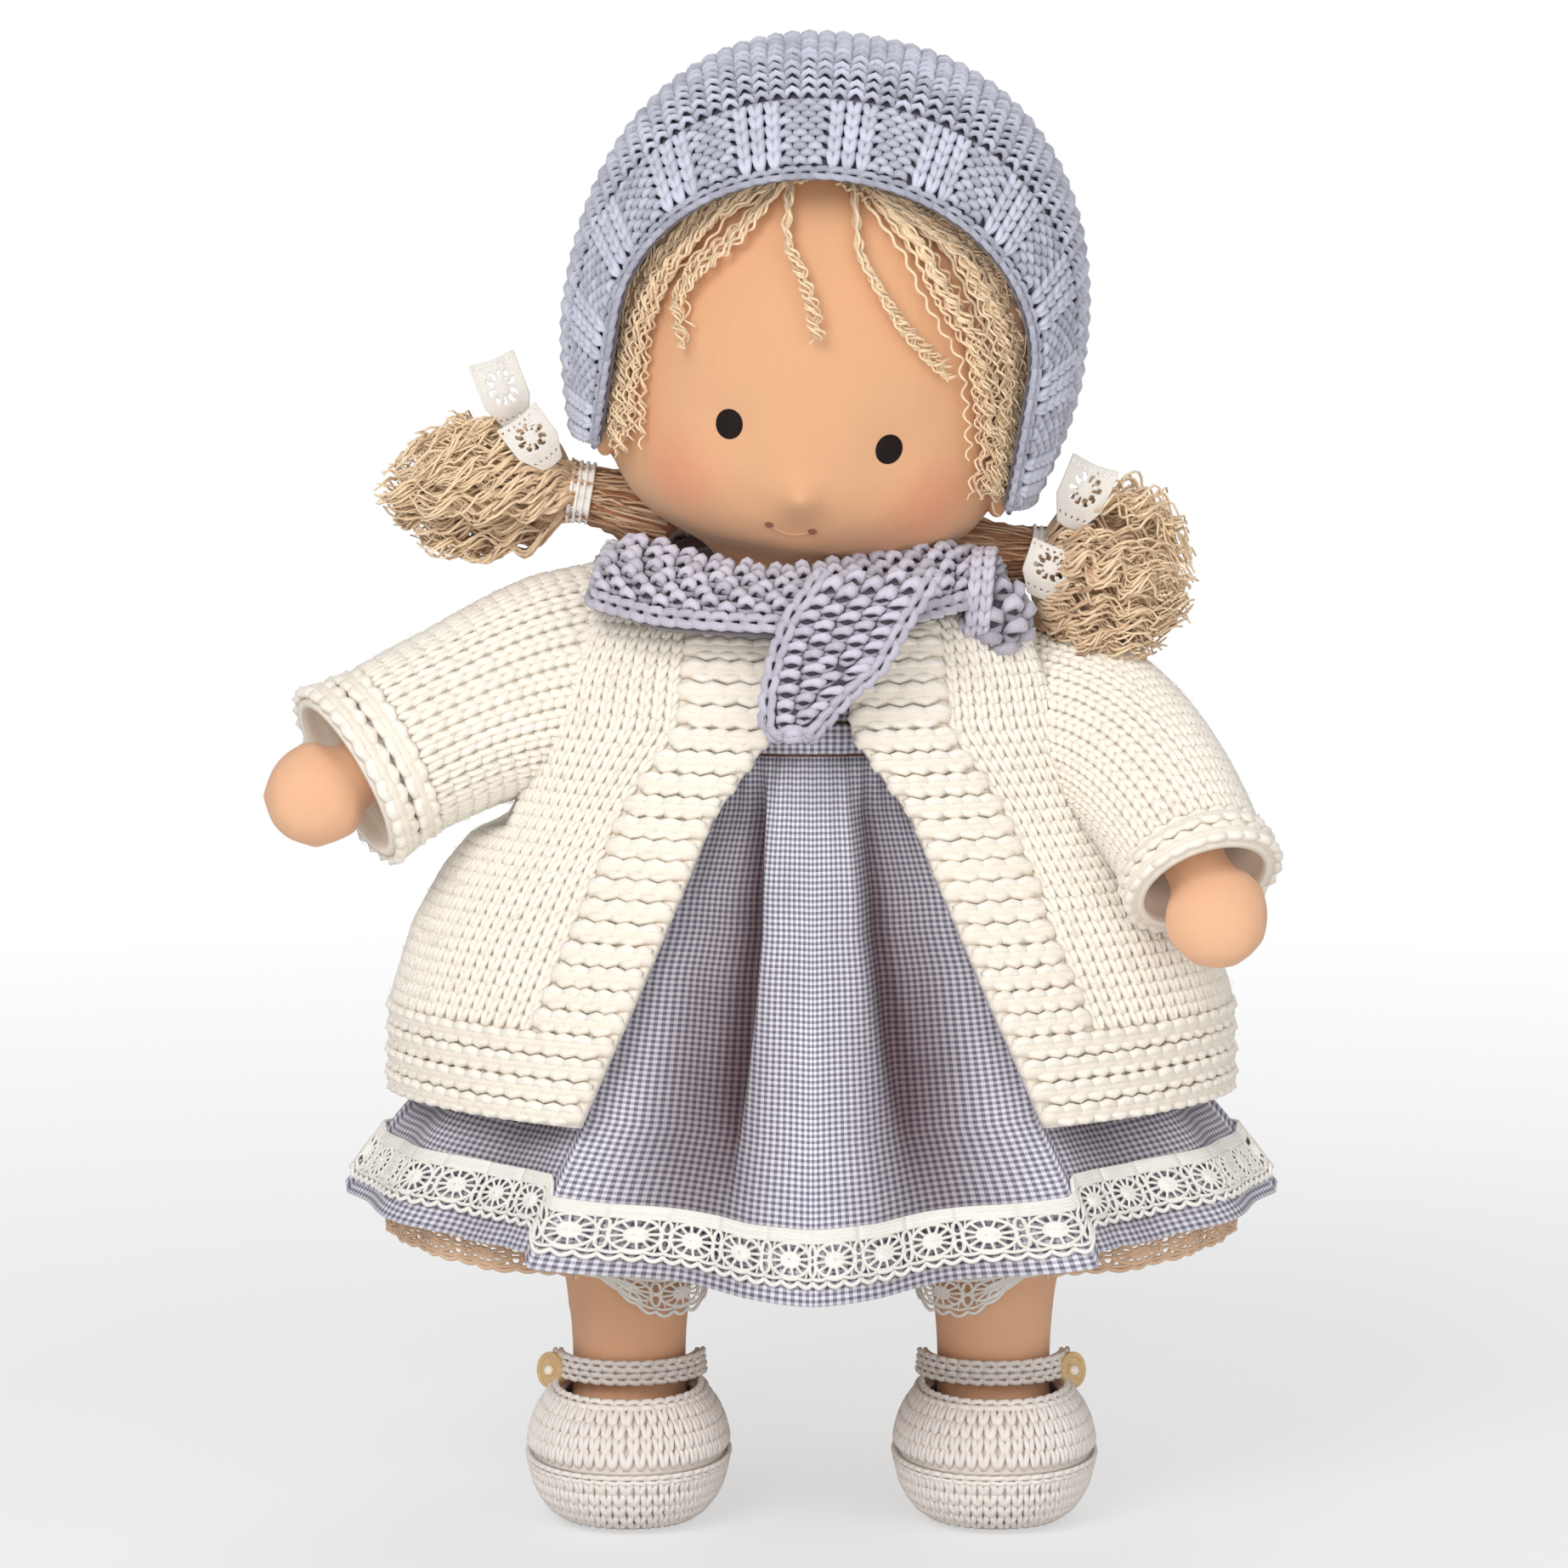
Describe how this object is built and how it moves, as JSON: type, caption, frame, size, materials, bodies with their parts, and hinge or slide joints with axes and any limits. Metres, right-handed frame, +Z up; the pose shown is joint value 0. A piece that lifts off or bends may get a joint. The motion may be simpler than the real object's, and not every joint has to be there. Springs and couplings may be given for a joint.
{
  "type": "rag doll",
  "caption": "Soft stuffed cloth doll in a gathered gingham dress, knitted cardigan, scarf and bonnet, and crochet strap shoes, with turning head and swinging limbs.",
  "frame": {"origin": "on the floor under the soles, in the middle of the doll's bounding box", "axes": "+Z up through the doll, the doll faces -Y, +X is the doll's left side"},
  "size_m": [0.2036, 0.1352, 0.2979],
  "materials": {
    "skin": "soft peach jersey",
    "stuffing": "white wool filling",
    "gingham": "fine blue-grey gingham cotton",
    "lace": "off-white cotton lace",
    "petticoat": "tan cotton and lace",
    "cardigan_knit": "cream chunky hand knit",
    "bonnet_knit": "grey-blue hand knit",
    "scarf_knit": "lavender grey garter knit",
    "hair": "curly blonde mohair",
    "eye_thread": "dark brown embroidery thread",
    "mouth_thread": "rose embroidery thread",
    "shoe_crochet": "white cotton crochet",
    "button": "small pale wooden button"
  },
  "bodies": {
    "torso": {"torso_skin": "skin", "torso_stuffing": "stuffing", "dress_bodice": "gingham", "dress_waistband": "gingham", "dress_skirt": "gingham", "skirt_lace": "lace", "petticoat": "petticoat", "petticoat_lace": "petticoat", "bloomers_seat": "lace", "cardigan_back": "cardigan_knit", "cardigan_left_front": "cardigan_knit", "cardigan_right_front": "cardigan_knit", "scarf_collar": "scarf_knit", "scarf_loop": "scarf_knit"},
    "scarf_tail": {"scarf_tail": "scarf_knit"},
    "head": {"head_skin": "skin", "head_core": "stuffing", "eye_left": "eye_thread", "eye_right": "eye_thread", "mouth_stitch": "mouth_thread", "ear_left": "skin", "ear_right": "skin", "hair_cap": "hair", "neck_tie": "stuffing"},
    "bonnet": {"bonnet": "bonnet_knit"},
    "pigtail_left": {"pigtail_left": "hair", "hair_tie_left": "lace", "lace_bow_left": "lace"},
    "pigtail_right": {"pigtail_right": "hair", "hair_tie_right": "lace", "lace_bow_right": "lace"},
    "arm_left": {"arm_skin_left": "skin", "arm_stuffing_left": "stuffing", "sleeve_left": "cardigan_knit", "cuff_left": "cardigan_knit"},
    "arm_right": {"arm_skin_right": "skin", "arm_stuffing_right": "stuffing", "sleeve_right": "cardigan_knit", "cuff_right": "cardigan_knit"},
    "leg_left": {"leg_skin_left": "skin", "leg_stuffing_left": "stuffing", "bloomer_leg_left": "lace", "bloomer_lace_left": "lace", "shoe_sole_left": "shoe_crochet", "shoe_upper_left": "shoe_crochet", "shoe_button_left": "button"},
    "strap_left": {"shoe_strap_left": "shoe_crochet"},
    "leg_right": {"leg_skin_right": "skin", "leg_stuffing_right": "stuffing", "bloomer_leg_right": "lace", "bloomer_lace_right": "lace", "shoe_sole_right": "shoe_crochet", "shoe_upper_right": "shoe_crochet", "shoe_button_right": "button"},
    "strap_right": {"shoe_strap_right": "shoe_crochet"}
  },
  "joints": [
    {"name": "head_turn", "type": "hinge", "parent": "torso", "child": "head", "pos_m": [0.00161, 0, 0.186], "axis": [0.1564, 0, 0.9877], "range_deg": [-30, 30]},
    {"name": "bonnet_lift", "type": "slide", "parent": "head", "child": "bonnet", "axis": [0.1564, 0, 0.9877], "range_m": [0, 0.095]},
    {"name": "pigtail_left_swing", "type": "hinge", "parent": "head", "child": "pigtail_left", "pos_m": [0.03969, 0.004, 0.19313], "axis": [0.1564, 0, 0.9877], "range_deg": [-14, 14]},
    {"name": "pigtail_right_swing", "type": "hinge", "parent": "head", "child": "pigtail_right", "pos_m": [-0.03241, 0.004, 0.20455], "axis": [0.1564, 0, 0.9877], "range_deg": [-14, 14]},
    {"name": "shoulder_left", "type": "hinge", "parent": "torso", "child": "arm_left", "pos_m": [0.05761, 0, 0.162], "axis": [-0.9397, 0, -0.342], "range_deg": [0, 32]},
    {"name": "shoulder_right", "type": "hinge", "parent": "torso", "child": "arm_right", "pos_m": [-0.04339, 0, 0.168], "axis": [-0.9397, 0, 0.342], "range_deg": [-35, 80]},
    {"name": "hip_left", "type": "hinge", "parent": "torso", "child": "leg_left", "pos_m": [0.04461, 0, 0.074], "axis": [-1, 0, 0], "range_deg": [-30, 30]},
    {"name": "hip_right", "type": "hinge", "parent": "torso", "child": "leg_right", "pos_m": [-0.02939, 0, 0.074], "axis": [-1, 0, 0], "range_deg": [-30, 30]},
    {"name": "scarf_tail_lift", "type": "hinge", "parent": "torso", "child": "scarf_tail", "pos_m": [0.01861, -0.0434, 0.191], "axis": [-1, 0, 0], "range_deg": [0, 70]},
    {"name": "strap_left_open", "type": "hinge", "parent": "leg_left", "child": "strap_left", "pos_m": [0.02981, 0, 0.0299], "axis": [0, 0, -1], "range_deg": [0, 90]},
    {"name": "strap_right_open", "type": "hinge", "parent": "leg_right", "child": "strap_right", "pos_m": [-0.01459, 0, 0.0299], "axis": [0, 0, 1], "range_deg": [0, 90]}
  ]
}
